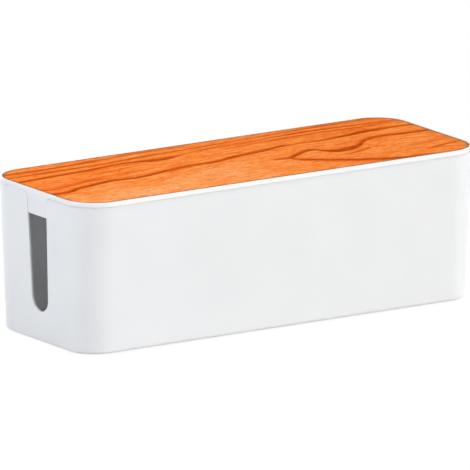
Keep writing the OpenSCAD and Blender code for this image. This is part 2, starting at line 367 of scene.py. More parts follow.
def four_corners_tree():
    """Sets copies of a piece at the four corners of a rectangle."""
    tree, given = geometry_tree("at_four_corners", {
        "Piece": "Object", "Length": "Float", "Width": "Float", "Material": "Material"})
    corners = add(tree, "GeometryNodeMeshGrid", {
        "Size X": given["Length"], "Size Y": given["Width"], "Vertices X": 2, "Vertices Y": 2})
    return set_on_points(tree, corners, given)


# Shapes

def arc(centre, radius, start, end, steps=ARC_STEPS):
    """Points on an arc, from one angle to another."""
    turns = [start + (end - start) * i / steps for i in range(steps + 1)]
    return [(centre[0] + radius * math.cos(t), centre[1] + radius * math.sin(t)) for t in turns]


def new_object(name, data):
    """Puts a new object in the scene."""
    piece = bpy.data.objects.new(name, data)
    bpy.context.scene.collection.objects.link(piece)
    return piece


def discard(*pieces):
    """Removes objects that only served to make another."""
    for piece in pieces:
        bpy.data.objects.remove(piece)


def baked(piece):
    """Makes a piece's modifiers part of its mesh."""
    graph = bpy.context.evaluated_depsgraph_get()
    mesh = bpy.data.meshes.new_from_object(piece.evaluated_get(graph), depsgraph=graph)
    piece.modifiers.clear()
    mesh.name = piece.name
    piece.data = mesh
    return piece


def grown(name, tree, inputs):
    """A mesh object that a Geometry Nodes tree makes from these inputs."""
    piece = new_object(name, bpy.data.meshes.new(name))
    modifier = piece.modifiers.new(tree.name, "NODES")
    modifier.node_group = tree
    for item in tree.interface.items_tree:
        if item.in_out == "INPUT" and item.name in inputs:
            modifier[item.identifier] = inputs[item.name]
    return baked(piece)


def tidied(piece, fill=False):
    """Welds a mesh, fills its open ends if asked, turns its faces outwards and smooths them."""
    bm = bmesh.new()
    bm.from_mesh(piece.data)
    bmesh.ops.remove_doubles(bm, verts=bm.verts, dist=WELD)
    if fill:
        bmesh.ops.holes_fill(bm, edges=[e for e in bm.edges if e.is_boundary])
    bmesh.ops.recalc_face_normals(bm, faces=bm.faces)
    for face in bm.faces:
        face.smooth = True
    bm.to_mesh(piece.data)
    bm.free()
    return piece


def carried_round(name, section, material, closed=False, half_length=0.0, half_width=0.0):
    """Carries a section, as distances out from the corner axes and heights, round a plan.

    The corner axes stand half_length and half_width from the middle. An open section starts and ends
    at the spine's radius, and its ends are filled; a closed one makes a ring."""
    line = bpy.data.curves.new(name + "_section", "CURVE")
    line.dimensions = "3D"
    spline = line.splines.new("POLY")
    spline.points.add(len(section) - 1)
    for point, (out, height) in zip(spline.points, section):
        point.co = (out - SPINE, -height, 0, 1)
    spline.use_cyclic_u = closed
    profile = new_object(name + "_section", line)
    piece = grown(name, round_plan_tree(), {
        "Section": profile,
        "Length": 2 * (half_length + SPINE),
        "Width": 2 * (half_width + SPINE),
        "Radius": SPINE,
        "Steps": CORNER_STEPS,
        "Material": material,
    })
    discard(profile)
    return tidied(piece, fill=not closed)


def carried(outline, along):
    """An outline and its copy, moved along."""
    return [outline, [Vector(point) + Vector(along) for point in outline]]


def lofted(name, solids, material):
    """Closed solids in one mesh. Each is a row of outlines that have as many points."""
    bm = bmesh.new()
    for outlines in solids:
        rings = [[bm.verts.new(point) for point in outline] for outline in outlines]
        bm.faces.new(rings[0])
        bm.faces.new(rings[-1])
        for near, far in zip(rings, rings[1:]):
            for i in range(len(near)):
                bm.faces.new((near[i - 1], near[i], far[i], far[i - 1]))
    mesh = bpy.data.meshes.new(name)
    bm.to_mesh(mesh)
    bm.free()
    mesh.materials.append(material)
    return tidied(new_object(name, mesh))


def hole_cutter(name, reach, stations, material):
    """A solid that cuts a round hole, or one drawn out along Y to a reach on each side of its middle.

    The stations are its heights and radii. They take the rounding of the hole's rims along."""
    outlines = []
    for height, radius in stations:
        half = arc((0, reach), radius, 0, math.pi, 2 * ARC_STEPS)
        outlines.append([(x, y, height) for x, y in half + [(-x, -y) for x, y in half]])
    return lofted(name, [outlines], material)


def rounded_rim(level, radius, edge, inward):
    """Stations that round a hole's rim, from the face at a level in towards the middle of the plate."""
    return [
        (level + inward * edge * (1 - math.cos(turn)), radius + edge * (1 - math.sin(turn)))
        for turn in (math.pi / 2 * i / EDGE_STEPS for i in range(EDGE_STEPS + 1))]


def scored(piece, places):
    """Splits a mesh's faces along upright planes at places along X. No hole then lies inside one face."""
    bm = bmesh.new()
    bm.from_mesh(piece.data)
    for x in places:
        whole = bm.verts[:] + bm.edges[:] + bm.faces[:]
        bmesh.ops.bisect_plane(bm, geom=whole, plane_co=(x, 0, 0), plane_no=(1, 0, 0))
    bm.to_mesh(piece.data)
    bm.free()
    return piece


def joined_and_cut(piece, joined=(), cut=()):
    """Joins some solids to a piece and cuts others from it, one after the other."""
    for other, operation in [(o, "UNION") for o in joined] + [(o, "DIFFERENCE") for o in cut]:
        change = piece.modifiers.new(other.name, "BOOLEAN")
        change.object = other
        change.operation = operation
        change.solver = "EXACT"
        tidied(baked(piece))
    discard(*joined, *cut)
    return piece


def edged(piece, edge):
    """Rounds the crisp edges of a piece."""
    bevel = piece.modifiers.new("broken_edges", "BEVEL")
    bevel.width = edge
    bevel.segments = EDGE_STEPS
    bevel.limit_method = "ANGLE"
    bevel.angle_limit = CRISP
    bevel.use_clamp_overlap = False
    return baked(piece)


def flat_faced(piece):
    """Shades a piece's flat faces flat, and the lines where its parts meet sharply."""
    piece.data.set_sharp_from_angle(angle=CRISP)
    piece.modifiers.new("flat_faces", "WEIGHTED_NORMAL").keep_sharp = True
    return baked(piece)


def corner_axes(tub):
    """Where the axes of the box's corners stand."""
    return {"half_length": tub_high.x - tub.corner, "half_width": tub_high.y - tub.corner}


def draft_at(tub, height):
    """How far a wall lies in from the rim's outline at a height."""
    return tub.draft * (tub_high.z - height) / (tub_high.z - tub_low.z)


def slot_side(tub, gap, low=None):
    """One side of a cable slot from its lowest point, or from a height, up to the rim, as (y, z) points.

    The round end, the leaning side and the rolled mouth touch. A gap draws the outline smaller."""
    rim = tub_high.z
    centre = tub_low.z + tub.slot_sill + tub.slot_end
    rise = rim - centre
    half = tub.slot_width / 2
    lean = math.acos(tub.slot_end / math.hypot(half, rise)) - math.atan2(rise, half)
    mouth = (half + tub.slot_mouth * (1 - math.sin(lean)) / math.cos(lean), rim - tub.slot_mouth)
    end = tub.slot_end - gap
    roll = tub.slot_mouth + gap
    if low is None:
        lower = arc((0, centre), end, -math.pi / 2, -lean, 2 * ARC_STEPS)
    else:
        foot = centre - end * math.sin(lean)
        lower = [(end * math.cos(lean) + (low - foot) * math.tan(lean), low)]
    upper = arc(mouth, roll, math.pi - lean, math.pi - math.asin(tub.slot_mouth / roll), 2 * ARC_STEPS)
    return lower + upper


def slot_outline(tub, side, top):
    """A whole outline on the slots' middle, from one side of it, closed at a height above it."""
    half = side + [(side[-1][0], top)]
    whole = half + [(-y, z) for y, z in reversed(half) if y > 0]
    return [(y - tub.slot_offset, z) for y, z in whole]


# Materials

def new_material(name):
    """A material with a Principled shader, its tree and the object's coordinates."""
    material = bpy.data.materials.new(name)
    material.use_nodes = True
    tree = material.node_tree
    tree.nodes.clear()
    place = add(tree, "ShaderNodeTexCoord").outputs["Object"]
    return material, tree, place


def end_material(tree, inputs, height, depth):
    """Ends a material in a Principled shader, with a relief of a depth in metres."""
    relief = add(tree, "ShaderNodeBump", {"Height": height, "Distance": depth, "Strength": 1.0})
    shader = add(tree, "ShaderNodeBsdfPrincipled", {**inputs, "Normal": relief.outputs[0]})
    add(tree, "ShaderNodeOutputMaterial", {"Surface": shader.outputs[0]})


def noise(tree, place, size, detail=2.0, roughness=0.5):
    """A noise whose lumps are about a size in metres."""
    return add(tree, "ShaderNodeTexNoise", {
        "Vector": place, "Scale": 1 / size, "Detail": detail, "Roughness": roughness}).outputs["Fac"]


def stretched_noise(tree, place, size, detail=2.0, roughness=0.5):
    """A noise whose lumps have a size in metres along each axis."""
    scaled = add(tree, "ShaderNodeMapping", {"Vector": place, "Scale": [1 / s for s in size]})
    return noise(tree, scaled.outputs[0], 1.0, detail, roughness)


def spread(tree, value, to_low, to_high, low=0.3, high=0.7):
    """Maps a value to a range, and keeps it inside. A noise mostly lies between 0.3 and 0.7."""
    return add(tree, "ShaderNodeMapRange", {
        "Value": value, "From Min": low, "From Max": high, "To Min": to_low, "To Max": to_high}).outputs[0]


def between(tree, value, start, end, clamp=True):
    """How far a value lies on its way from a start to an end, as 0 to 1."""
    inputs = {"Value": value, "From Min": start, "From Max": end}
    return add(tree, "ShaderNodeMapRange", inputs, clamp=clamp).outputs[0]


def mixed(tree, factor, a, b, blend="MIX"):
    """A colour mixed from two, which are sockets or colours without alpha."""
    a, b = (c if isinstance(c, bpy.types.NodeSocket) else (*c, 1.0) for c in (a, b))
    values = {"Factor_Float": factor, "A_Color": a, "B_Color": b}
    return add(tree, "ShaderNodeMix", values, data_type="RGBA", blend_type=blend).outputs["Result"]


def moulded_abs(name, tint, translucent):
    """ABS from a spark-eroded mould: an even satin white, with a fine grain and faint waves in the gloss.

    A translucent wall is thin enough for a little daylight to glow through to the inside of the box.
    The grain is really about 0.1 mm and is drawn at 0.5 mm, as finer grain wouldn't show."""
    material, tree, place = new_material(name)
    grain = noise(tree, place, 0.5 * MM, 2)
    waves = noise(tree, place, 45 * MM, 1)
    dull = [c * 0.975 for c in tint]
    height = maths(tree, "ADD", maths(tree, "MULTIPLY", grain, 0.25), waves)
    end_material(tree, {
        "Base Color": mixed(tree, spread(tree, waves, 0.0, 1.0), tint, dull),
        "Roughness": spread(tree, grain, 0.38, 0.5),
        "IOR": 1.54,
        "Subsurface Weight": float(translucent),
        "Subsurface Radius": (1, 1, 1),
        "Subsurface Scale": 3 * MM,
    }, height, 0.02 * MM)
    return material


def rubber(name, tint):
    """Moulded rubber: matt dark grey, faintly dusty, with a fine pebbled skin."""
    material, tree, place = new_material(name)
    pebble = noise(tree, place, 0.4 * MM, 3)
    dust = spread(tree, noise(tree, place, 3 * MM, 3), 0.0, 0.35, 0.45, 0.75)
    end_material(tree, {
        "Base Color": mixed(tree, dust, tint, linear("#85868A")),
        "Roughness": spread(tree, pebble, 0.65, 0.85),
        "IOR": 1.52,
    }, pebble, 0.05 * MM)
    return material


def acrylic_foam(name, tint):
    """Acrylic foam adhesive: an off-white, slightly glossy sheet with small closed cells."""
    material, tree, place = new_material(name)
    cells = add(tree, "ShaderNodeTexVoronoi", {"Vector": place, "Scale": 1 / (0.6 * MM)}).outputs["Distance"]
    end_material(tree, {
        "Base Color": mixed(tree, spread(tree, cells, 0.0, 0.5, 0.1, 0.7), tint, linear("#CFC8B4")),
        "Roughness": spread(tree, cells, 0.3, 0.5, 0.0, 0.8),
        "IOR": 1.47,
    }, cells, 0.05 * MM)
    return material


def grain_noise(tree, place, run, breadth, detail, roughness=0.5):
    """A noise whose lumps are drawn out along the wood's grain. Their run and breadth are in metres."""
    return stretched_noise(tree, place, (run, breadth, run), detail, roughness)


def ring_noise(tree, parts, ring, run, rings, detail=3.0, roughness=0.55):
    """A noise that bends with the grain. Its lumps have a run in metres and a breadth in growth rings."""
    bent = add(tree, "ShaderNodeCombineXYZ", {
        0: maths(tree, "DIVIDE", parts["X"], run), 1: maths(tree, "DIVIDE", ring, rings)})
    return noise(tree, bent.outputs[0], 1.0, detail, roughness)


def along_curve(tree, along, points, low, high):
    """A value that follows a curve along the panel. Its points are places, in millimetres, and values."""
    node = add(tree, "ShaderNodeFloatCurve", {"Value": along})
    curve = node.mapping.curves[0]
    start, end = points[0][0], points[-1][0]
    spots = [((x - start) / (end - start), (value - low) / (high - low)) for x, value in points]
    curve.points[0].location = spots[0]
    curve.points[1].location = spots[-1]
    for spot in spots[1:-1]:
        curve.points.new(*spot)
    node.mapping.update()
    return spread(tree, node.outputs[0], low, high, 0, 1)


def lie_of_grain(tree, parts, place):
    """The growth ring's number at a place on the panel, and how dark the grain lines make that place.

    The number is 0 on both sides of the flame, 1 on the main line, 2 on the knot's and 3 on the rear one,
    and is spread evenly between them. Before the main line it depends on the nearer side of the flame."""
    sway = spread(tree, grain_noise(tree, place, 40 * MM, 12 * MM, 3, 0.6), -SWAY, SWAY, 0, 1)
    across = maths(tree, "ADD", maths(tree, "DIVIDE", parts["Y"], MM), sway)
    spots = {}
    dark = 0.0
    for name, (shade, points) in GRAIN_LINES.items():
        along = between(tree, parts["X"], points[0][0] * MM, points[-1][0] * MM)
        spot = along_curve(tree, along, [(x, y) for x, y, _ in points], *GRAIN_SPAN)
        breadth = along_curve(tree, along, [(x, width) for x, _, width in points], 0, BROADEST)
        past = maths(tree, "MULTIPLY", maths(tree, "SUBTRACT", across, spot), math.copysign(1, shade))
        past = maths(tree, "ADD", past, maths(tree, "MULTIPLY", breadth, 0.5))
        crisp_side = between(tree, past, -CRISP_SIDE, 0)
        soft_side = between(tree, past, maths(tree, "ADD", breadth, abs(shade)), breadth)
        soft_side = maths(tree, "POWER", soft_side, SHADE_POWER)
        strength = between(tree, breadth, 0, FULL_BREADTH)
        dark = maths(tree, "MAXIMUM", dark, maths(tree, "MULTIPLY", crisp_side, soft_side, strength))
        spots[name] = spot
    before_front = maths(tree, "SUBTRACT", spots["flame_front"], FRONT_RING)
    behind_flame = between(tree, across, spots["flame_rear"], spots["main"], clamp=False)
    before_flame = between(tree, across, spots["flame_front"], before_front, clamp=False)
    to_main = maths(tree, "MINIMUM", maths(tree, "MAXIMUM", behind_flame, before_flame), 1.0)
    to_knot = between(tree, across, spots["main"], spots["knot"])
    to_rear = between(tree, across, spots["knot"], spots["rear"])
    next_ring = maths(tree, "ADD", spots["rear"], REAR_RING)
    beyond = maths(tree, "MAXIMUM", between(tree, across, spots["rear"], next_ring, clamp=False), 0.0)
    return maths(tree, "ADD", to_main, to_knot, to_rear, beyond), dark


def painted_edge_shade(tree, parts, width):
    """How near a place is to the panel's cut edge, from 0 at a width in to 1 at the edge, where shade is
    painted.
    """
    corner = panel_corner()
    past = []
    for axis, half in (("X", panel_high.x), ("Y", panel_high.y)):
        past.append(maths(tree, "SUBTRACT", maths(tree, "ABSOLUTE", parts[axis]), half - corner))
    outside = [maths(tree, "MAXIMUM", value, 0.0) for value in past]
    squares = [maths(tree, "POWER", value, 2.0) for value in outside]
    reach = maths(tree, "SQRT", maths(tree, "ADD", *squares))
    return between(tree, reach, corner - width, corner)


def panel_corner():
    """Radius of the wood panel's corners, which follow the tub's."""
    return bpy.context.scene.cable_box.tub.corner - (tub_high.x - panel_high.x)


def early_wood(tree, place, parts, ring, panel):
    """Colour of the wood between the dark lines, with its streaks and flecks."""
    # The figure is livelier behind the main line and round the flame than in the calm front left part
    round_flame = maths(tree, "MULTIPLY", between(tree, parts["X"], -40 * MM, 50 * MM), 0.8)
    lively = maths(tree, "MAXIMUM", between(tree, ring, 0.5, 1.15), round_flame)
    mottle = spread(tree, grain_noise(tree, place, 40 * MM, 14 * MM, 3, 0.6), -0.2, 0.8)
    warm = maths(tree, "ADD", maths(tree, "MULTIPLY", lively, 0.8), mottle)
    ground = mixed(tree, warm, panel.pale, panel.warm)

    broad_streaks = spread(tree, ring_noise(tree, parts, ring, 110 * MM, 0.3), 0.0, 0.6, 0.42, 0.7)
    streaks = spread(tree, ring_noise(tree, parts, ring, 40 * MM, 0.12), 0.0, 0.9, 0.42, 0.68)
    fine_streaks = spread(tree, ring_noise(tree, parts, ring, 20 * MM, 0.04, 2), 0.0, 0.6, 0.4, 0.7)
    flecks = spread(tree, grain_noise(tree, place, 26 * MM, 4 * MM, 3, 0.65), 0.0, 1.0, 0.45, 0.62)
    reach = spread(tree, lively, 0.45, 0.85, 0.0, 1.0)
    for band in (broad_streaks, streaks, fine_streaks, flecks):
        ground = mixed(tree, maths(tree, "MULTIPLY", band, reach), ground, panel.streak)

    brown_streaks = spread(tree, ring_noise(tree, parts, ring, 80 * MM, 0.14), 0.0, 1.0, 0.5, 0.68)
    # At the left end a third of that brown lies all over, from the main line to the knot's
    left_end = between(tree, parts["X"], -120 * MM, -180 * MM)
    past_main = between(tree, ring, 0.9, 1.0)
    before_knot = between(tree, ring, 2.2, 1.8)
    all_over = maths(tree, "MULTIPLY", left_end, 0.34, past_main, before_knot)
    brown = maths(tree, "MAXIMUM", maths(tree, "MULTIPLY", brown_streaks, lively), all_over)
    return mixed(tree, brown, ground, panel.brown, "MULTIPLY")


def fine_tone(tree, place, fibres, pores):
    """What the fine figure multiplies the wood's colour by.

    Where the wood is darker it is also redder, and its warmth changes from patch to patch."""
    light = grain_noise(tree, place, 11 * MM, 3.2 * MM, 4, 0.7)
    tone = maths(tree, "MULTIPLY", spread(tree, fibres, 0.84, 1.18), spread(tree, light, 0.76, 1.24))
    tone = maths(tree, "SUBTRACT", tone, maths(tree, "MULTIPLY", pores, 0.28))
    warmth = spread(tree, grain_noise(tree, place, 30 * MM, 9 * MM, 3, 0.6), 0.88, 1.12)
    return add(tree, "ShaderNodeCombineColor", {
        0: maths(tree, "POWER", tone, 0.5),
        1: maths(tree, "MULTIPLY", tone, warmth),
        2: maths(tree, "MULTIPLY", maths(tree, "POWER", tone, 1.3), maths(tree, "POWER", warmth, 2.0)),
    }).outputs[0]


def wood_veneer(panel):
    """Lacquered wood veneer: orange-brown early wood, dark late wood that ends each growth ring, redder
    streaks that run with the rings, short open pores and a thin lacquer without gloss.

    Its fibres are really about 0.1 mm across and its pores 0.3 mm. Both are drawn at 1.2 mm, as finer
    ones wouldn't show."""
    material, tree, place = new_material("wood_veneer_lacquered")
    parts = add(tree, "ShaderNodeSeparateXYZ", {0: place}).outputs
    ring, dark = lie_of_grain(tree, parts, place)
    wood = early_wood(tree, place, parts, ring, panel)
    strength = spread(tree, ring_noise(tree, parts, ring, 60 * MM, 0.6), 0.7, 1.0, 0.3, 0.6)
    core = maths(tree, "MULTIPLY", between(tree, dark, 0.35, 1.0), strength)
    wood = mixed(tree, between(tree, dark, 0.0, 0.6), wood, panel.shade)
    wood = mixed(tree, core, wood, panel.late)
    # Painted shade: the veneer darkens to the edge colour along its cut edge, standing in for the shade where
    # the panel meets the lid's lip
    wood = mixed(tree, painted_edge_shade(tree, parts, panel.edge_width), wood, panel.edge)
    fibres = grain_noise(tree, place, 7 * MM, 1.2 * MM, 2)
    pores = spread(tree, grain_noise(tree, place, 5 * MM, 1.2 * MM, 1), 0.0, 1.0, 0.56, 0.66)
    height = maths(tree, "SUBTRACT", maths(tree, "MULTIPLY", fibres, 0.4), pores)
    end_material(tree, {
        "Base Color": mixed(tree, 1.0, wood, fine_tone(tree, place, fibres, pores), "MULTIPLY"),
        "Roughness": spread(tree, fibres, 0.55, 0.7),
        "IOR": 1.45,
        "Specular IOR Level": 0.0,
    }, height, 0.03 * MM)
    return material


def veneer_edge(panel):
    """The panel's edge, where the veneer and its core are sealed: darker, with the layers showing."""
    material, tree, place = new_material("wood_edge_sealed")
    layers = stretched_noise(tree, place, (20 * MM, 20 * MM, 0.3 * MM), 2)
    end_material(tree, {
        "Base Color": mixed(tree, spread(tree, layers, 0.0, 0.6), panel.edge, panel.late),
        "Roughness": spread(tree, layers, 0.55, 0.7),
        "IOR": 1.45,
    }, layers, 0.03 * MM)
    return material


# Pieces

class CABLE_BOX_OT_tub(bpy.types.Operator):
    """Builds the moulded tub, with its cable slots, vents and foot seats"""

    bl_idname = "cable_box.tub"
    bl_label = "Tub"

    def execute(self, context):
        tub = context.scene.cable_box.tub
        abs_white = moulded_abs("abs_moulded_tub", tub.colour, translucent=True)
        shell = self.walls_and_base(tub, abs_white)
        edged(joined_and_cut(shell, cut=(self.slot_cut(tub, abs_white),)), tub.broken_edge)
        vents, vent_lines = self.vent_cuts(tub, abs_white)
        seats, seat_lines = self.seat_cuts(tub, context.scene.cable_box.foot, abs_white)
        scored(shell, vent_lines + seat_lines)
        flat_faced(joined_and_cut(shell, cut=(vents, seats)))
        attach(shell, "box")
        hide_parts("tub")
        return {"FINISHED"}

    def walls_and_base(self, tub, material):
        """The drafted walls and the base, without openings."""
        rim, under, floor = tub_high.z, tub_low.z, tub_low.z + tub.base
        lean = math.atan2(tub.draft, rim - under)

        def rounded_turn(inset, level, radius):
            """The arc by which a drafted wall turns into a flat face at a level."""
            in_from_face = radius * (1 - math.sin(lean)) / math.cos(lean)
            middle = tub.corner - draft_at(tub, level) - inset - in_from_face
            return arc((middle, level + radius), radius, -math.pi / 2, -lean)

        outside = [(SPINE, under), *rounded_turn(0, under, tub.base_edge), (tub.corner, rim)]
        inside = [
            (SPINE, floor), *rounded_turn(tub.wall, floor, tub.floor_edge), (tub.corner - tub.wall, rim)]
        return carried_round("tub_shell", outside + inside[::-1], material, **corner_axes(tub))

    def slot_cut(self, tub, material):
        """The solid that cuts both cable slots, as it runs the whole length of the box."""
        end = tub_low.x - OVER
        slot = [(end, y, z) for y, z in slot_outline(tub, slot_side(tub, 0), tub_high.z + OVER)]
        return lofted("slot_cut", [carried(slot, (-2 * end, 0, 0))], material)

    def vent_cuts(self, tub, material):
        """The solids that cut the vents, and where to score the base for them."""
        under, floor = tub_low.z, tub_low.z + tub.base
        radius = tub.vent_width / 2
        lower_rim = rounded_rim(under, radius, tub.broken_edge, 1)
        upper_rim = rounded_rim(floor, radius, tub.broken_edge, -1)[::-1]
        vent_cut = hole_cutter("vent_cut", tub.vent_length / 2 - radius, [
            (under - OVER, lower_rim[0][1]), *lower_rim, *upper_rim, (floor + OVER, upper_rim[-1][1]),
        ], material)
        step = (tub.vent_pitch, 0, 0)
        vents = grown("vents_cut", row_tree(), {
            "Piece": vent_cut, "Count": tub.vent_count, "Step": step, "Material": material})
        discard(vent_cut)
        half_row = (tub.vent_count - 1) / 2
        middles = [(i - half_row) * tub.vent_pitch for i in range(tub.vent_count)]
        return vents, score_lines(middles, radius)

    def seat_cuts(self, tub, foot, material):
        """The solids that cut the feet's seats, and where to score the base for them."""
        under = tub_low.z
        radius = (foot_high.x - foot_low.x) / 2 + foot.seat_gap
        seat_rim = rounded_rim(under, radius, tub.broken_edge, 1)
        seat_cut = hole_cutter("seat_cut", 0, [
            (under - OVER, seat_rim[0][1]), *seat_rim, (under + foot.seat, radius)], material)
        places = foot_places()
        seats = grown("seats_cut", four_corners_tree(), {**places, "Piece": seat_cut, "Material": material})
        discard(seat_cut)
        return seats, score_lines([side * places["Length"] / 2 for side in (-1, 1)], radius)


def score_lines(middles, radius):
    """Where to score a face with holes: through each, a fifth of its radius beside its middle.

    The lines then pass through none of the points on the holes' outlines."""
    return [middle + radius / 5 for middle in middles]


def foot_places():
    """The rectangle at whose corners the feet stand."""
    return {"Length": -(foot_low.x + foot_high.x), "Width": -(foot_low.y + foot_high.y)}


class CABLE_BOX_OT_lid(bpy.types.Operator):
    """Builds the moulded lid, with its lip, skirt, ribs and the tongues that close the cable slots"""

    bl_idname = "cable_box.lid"
    bl_label = "Lid"

    def execute(self, context):
        tub = context.scene.cable_box.tub
        lid = context.scene.cable_box.lid
        # The panel backs the lid, so that no daylight gets through it
        abs_white = moulded_abs("abs_moulded_lid", lid.colour, translucent=False)
        frame_piece = self.edge_and_deck(tub, lid, abs_white)
        skirt = self.skirt(tub, lid, abs_white)
        tongues, gussets = self.tongues_and_gussets(tub, lid, abs_white)
        ribs = self.rows_of_ribs(tub, lid, abs_white)
        for part in (frame_piece, skirt, tongues, gussets):
            edged(part, lid.broken_edge)
        flat_faced(joined_and_cut(frame_piece, joined=(skirt, tongues, gussets, *ribs)))
        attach(frame_piece, "lid")
        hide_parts("lid_tray")
        return {"FINISHED"}

    def edge_and_deck(self, tub, lid, material):
        """The lid's edge, with its lip, and the deck that the panel lies on."""
        rim, deck, top = tub_high.z, sheet_low.z, lid_high.z
        lean = math.atan2(lid.lean, top - rim)
        round_z = top - lid.edge
        round_x = tub.corner - (round_z - rim) * math.tan(lean) - lid.edge / math.cos(lean)
        lip_x = tub.corner - lid.lean - lid.lip
        section = [
            (SPINE, rim), (tub.corner, rim), *arc((round_x, round_z), lid.edge, lean, math.pi / 2),
            (lip_x, top), (lip_x, deck), (SPINE, deck)]
        return carried_round("lid_frame", section, material, **corner_axes(tub))

    def skirt(self, tub, lid, material):
        """The skirt that locates the lid inside the tub, broken where the tongues hang down."""
        rim = tub_high.z
        low = rim - lid.skirt
        outer = tub.wall + lid.skirt_gap
        inner = outer + lid.skirt_wall

        def wall_at(height, inset):
            """Distance of a face inside the tub's wall from the corner axes, at a height."""
            return tub.corner - draft_at(tub, height) - inset

        skirt = carried_round("skirt", [
            (wall_at(low, outer) - lid.skirt_lead, low),
            (wall_at(low + lid.skirt_lead, outer), low + lid.skirt_lead),
            (wall_at(rim, outer), rim + OVER),
            (wall_at(rim, inner), rim + OVER),
            (wall_at(low, inner), low),
        ], material, closed=True, **corner_axes(tub))
        half_break = slot_side(tub, 0)[-1][0] + lid.skirt_break
        front, rear = -tub.slot_offset - half_break, -tub.slot_offset + half_break
        under, over = low - OVER, rim + 2 * OVER
        gap = [(tub_low.x, y, z) for y, z in ((front, under), (rear, under), (rear, over), (front, over))]
        skirt_cut = lofted("skirt_cut", [carried(gap, (tub_high.x - tub_low.x, 0, 0))], material)
        return joined_and_cut(skirt, cut=(skirt_cut,))

    def tongues_and_gussets(self, tub, lid, material):
        """The tongues that close the upper part of the cable slots, and the gussets behind them."""
        rim, low = tub_high.z, lid_low.z
        outline = slot_outline(tub, slot_side(tub, lid.tongue_gap, low), rim + OVER)
        reach = lid.gusset * (1 + OVER / (rim - low))

        def face(way, height):
            """Where the outer face of a tongue stands at a height."""
            return way * (tub_high.x - lid.tongue_recess - draft_at(tub, height))

        tongues = []
        gussets = []
        for way in (-1, 1):
            tongues.append(carried([(face(way, z), y, z) for y, z in outline], (-way * lid.tongue, 0, 0)))
            back = -way * (lid.tongue - SUNK)
            lower, upper = face(way, low) + back, face(way, rim) + back
            for side in (-1, 1):
                y = side * tub.slot_width / 4 - tub.slot_offset - lid.rib / 2
                gusset = [(lower, y, low), (upper, y, rim + OVER), (upper - way * reach, y, rim + OVER)]
                gussets.append(carried(gusset, (0, lid.rib, 0)))
        return lofted("tongues", tongues, material), lofted("gussets", gussets, material)

    def rows_of_ribs(self, tub, lid, material):
        """The ribs across the lid and those along it, which end in the skirt."""
        rim = tub_high.z
        outer = tub.wall + lid.skirt_gap
        span_x = 2 * (tub_high.x - outer - lid.skirt_wall / 2)
        span_y = 2 * (tub_high.y - outer - lid.skirt_wall / 2)
        # The long ribs are a hair less deep, so that no two faces coincide where ribs cross
        long_depth = lid.rib_depth - lid.broken_edge / 2
        square = ((-1, -1), (1, -1), (1, 1), (-1, 1))
        rows = []
        for name, size, depth, count, step in (
            ("cross_ribs", (lid.rib, span_y), lid.rib_depth, lid.cross_ribs, (span_x / lid.cross_ribs, 0, 0)),
            ("long_ribs", (span_x, lid.rib), long_depth, lid.long_ribs, (0, span_y / lid.long_ribs, 0)),
        ):
            corners = [(x * size[0] / 2, y * size[1] / 2, rim - depth) for x, y in square]
            rib = lofted(name + "_one", [carried(corners, (0, 0, depth + OVER))], material)
            rows.append(grown(name, row_tree(), {
                "Piece": edged(rib, lid.broken_edge), "Count": count, "Step": step, "Material": material}))
            discard(rib)
        return rows


class CABLE_BOX_OT_panel(bpy.types.Operator):
    """Builds the wood panel that is set in the lid"""

    bl_idname = "cable_box.panel"
    bl_label = "Wood panel"

    def execute(self, context):
        settings = context.scene.cable_box
        corner = panel_corner()
        section = [(SPINE, panel_low.z), (corner, panel_low.z), (corner, panel_high.z), (SPINE, panel_high.z)]
        panel = carried_round(
            "wood_top", section, wood_veneer(settings.panel),
            half_length=panel_high.x - corner, half_width=panel_high.y - corner)
        flat_faced(edged(panel, settings.panel.chamfer))
        panel.data.materials.append(veneer_edge(settings.panel))
        for polygon in panel.data.polygons:
            polygon.material_index = int(polygon.normal.z < VENEER_RISE)
        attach(panel, "lid")
        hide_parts("wood_panel")
        return {"FINISHED"}


class CABLE_BOX_OT_adhesive(bpy.types.Operator):
    """Gives the adhesive sheet its finish"""

    bl_idname = "cable_box.adhesive"
    bl_label = "Adhesive sheet"

    def execute(self, context):
        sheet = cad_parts["panel_adhesive"]
        foam = acrylic_foam("acrylic_adhesive", context.scene.cable_box.panel.adhesive)
        for material_slot in sheet.material_slots:
            material_slot.material = foam
        return {"FINISHED"}


class CABLE_BOX_OT_feet(bpy.types.Operator):
    """Builds the four stick-on feet"""

    bl_idname = "cable_box.feet"
    bl_label = "Feet"

    def execute(self, context):
        foot = context.scene.cable_box.foot
        dark_rubber = rubber("rubber_moulded_feet", foot.colour)
        radius = (foot_high.x - foot_low.x) / 2
        outline = [(x, y, foot_low.z) for x, y in arc((0, 0), radius, 0, math.tau, 6 * ARC_STEPS)[:-1]]
        pad = lofted("pad", [carried(outline, (0, 0, foot_high.z - foot_low.z))], dark_rubber)
        flat_faced(edged(pad, foot.edge))
        feet = grown("rubber_feet", four_corners_tree(), {
            **foot_places(), "Piece": pad, "Material": dark_rubber})
        discard(pad)
        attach(feet, "box")
        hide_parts("foot_front_left", "foot_front_right", "foot_rear_left", "foot_rear_right")
        return {"FINISHED"}


# Stage

def seen_by_eye(tree):
    """1 for rays from the camera, and for those that mirrors and glass send on."""
    path = add(tree, "ShaderNodeLightPath").outputs
    mirrored = maths(tree, "MAXIMUM", path["Is Glossy Ray"], path["Is Transmission Ray"])
    return maths(tree, "MAXIMUM", path["Is Camera Ray"], mirrored)


